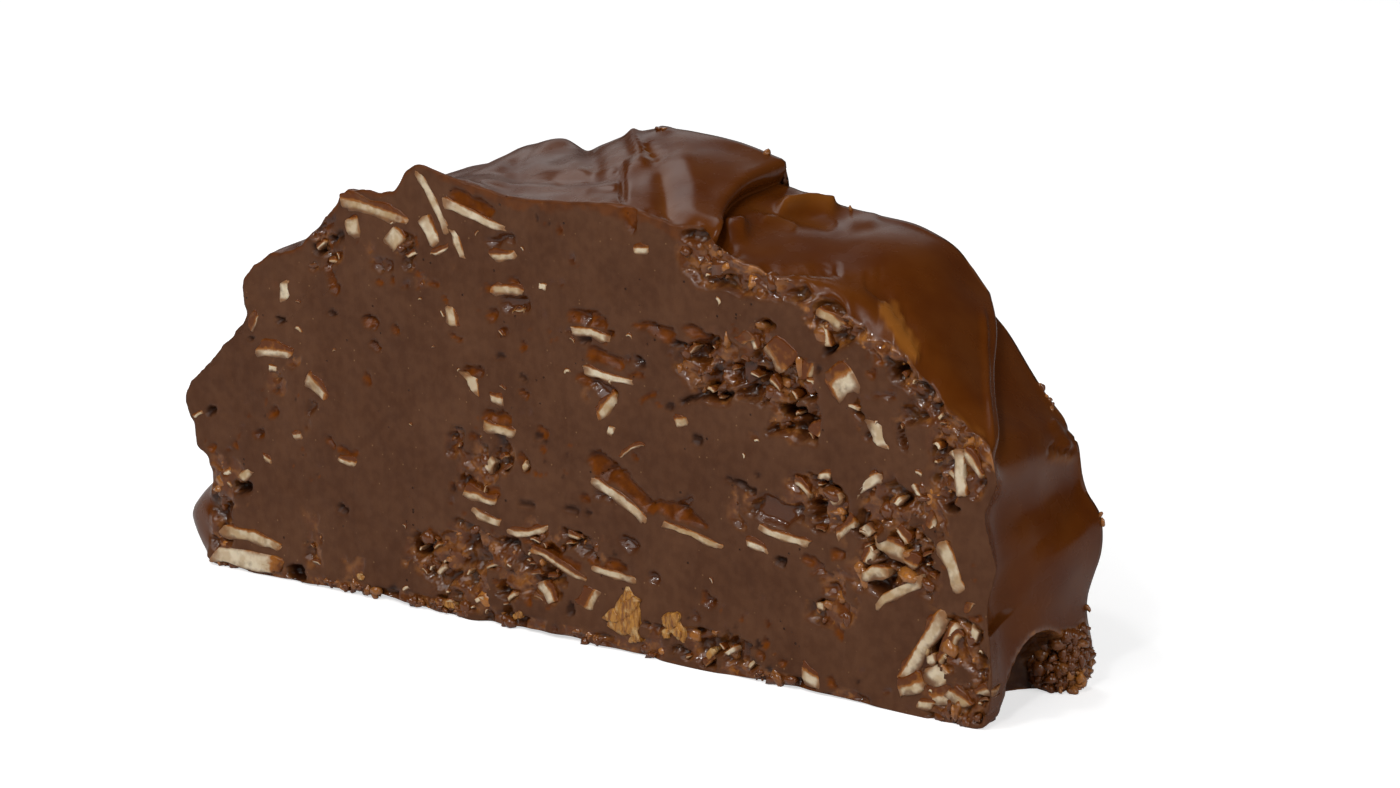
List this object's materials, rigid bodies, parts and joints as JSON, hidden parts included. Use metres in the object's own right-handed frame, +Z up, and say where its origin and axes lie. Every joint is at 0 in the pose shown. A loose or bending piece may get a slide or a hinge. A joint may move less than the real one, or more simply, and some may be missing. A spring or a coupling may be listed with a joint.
{
  "type": "chocolate almond fudge slice",
  "caption": "Thick slice of chocolate fudge with flaked almonds: domed cut faces front and back, a glossy folded skin over the top and ends, and a flat base.",
  "frame": {"origin": "on the base, under the middle of the bounding box", "axes": "+X along the cut face towards its lower end, -Y out of the front cut face, +Z up"},
  "size_m": [0.1458, 0.0258, 0.0686],
  "materials": {
    "fudge": "satin cut face, glossier skin",
    "almond": "matte",
    "wafer": "matte"
  },
  "bodies": {
    "root": {"fudge": "fudge", "almond_01": "almond", "almond_02": "almond", "almond_03": "almond", "almond_04": "almond", "almond_05": "almond", "almond_06": "almond", "almond_07": "almond", "almond_08": "almond", "almond_09": "almond", "almond_10": "almond", "almond_11": "almond", "almond_12": "almond", "almond_13": "almond", "almond_14": "almond", "almond_15": "almond", "almond_16": "almond", "almond_17": "almond", "almond_18": "almond", "almond_19": "almond", "almond_20": "almond", "almond_21": "almond", "almond_22": "almond", "almond_23": "almond", "almond_24": "almond", "almond_25": "almond", "wafer_piece": "wafer"}
  },
  "joints": []
}
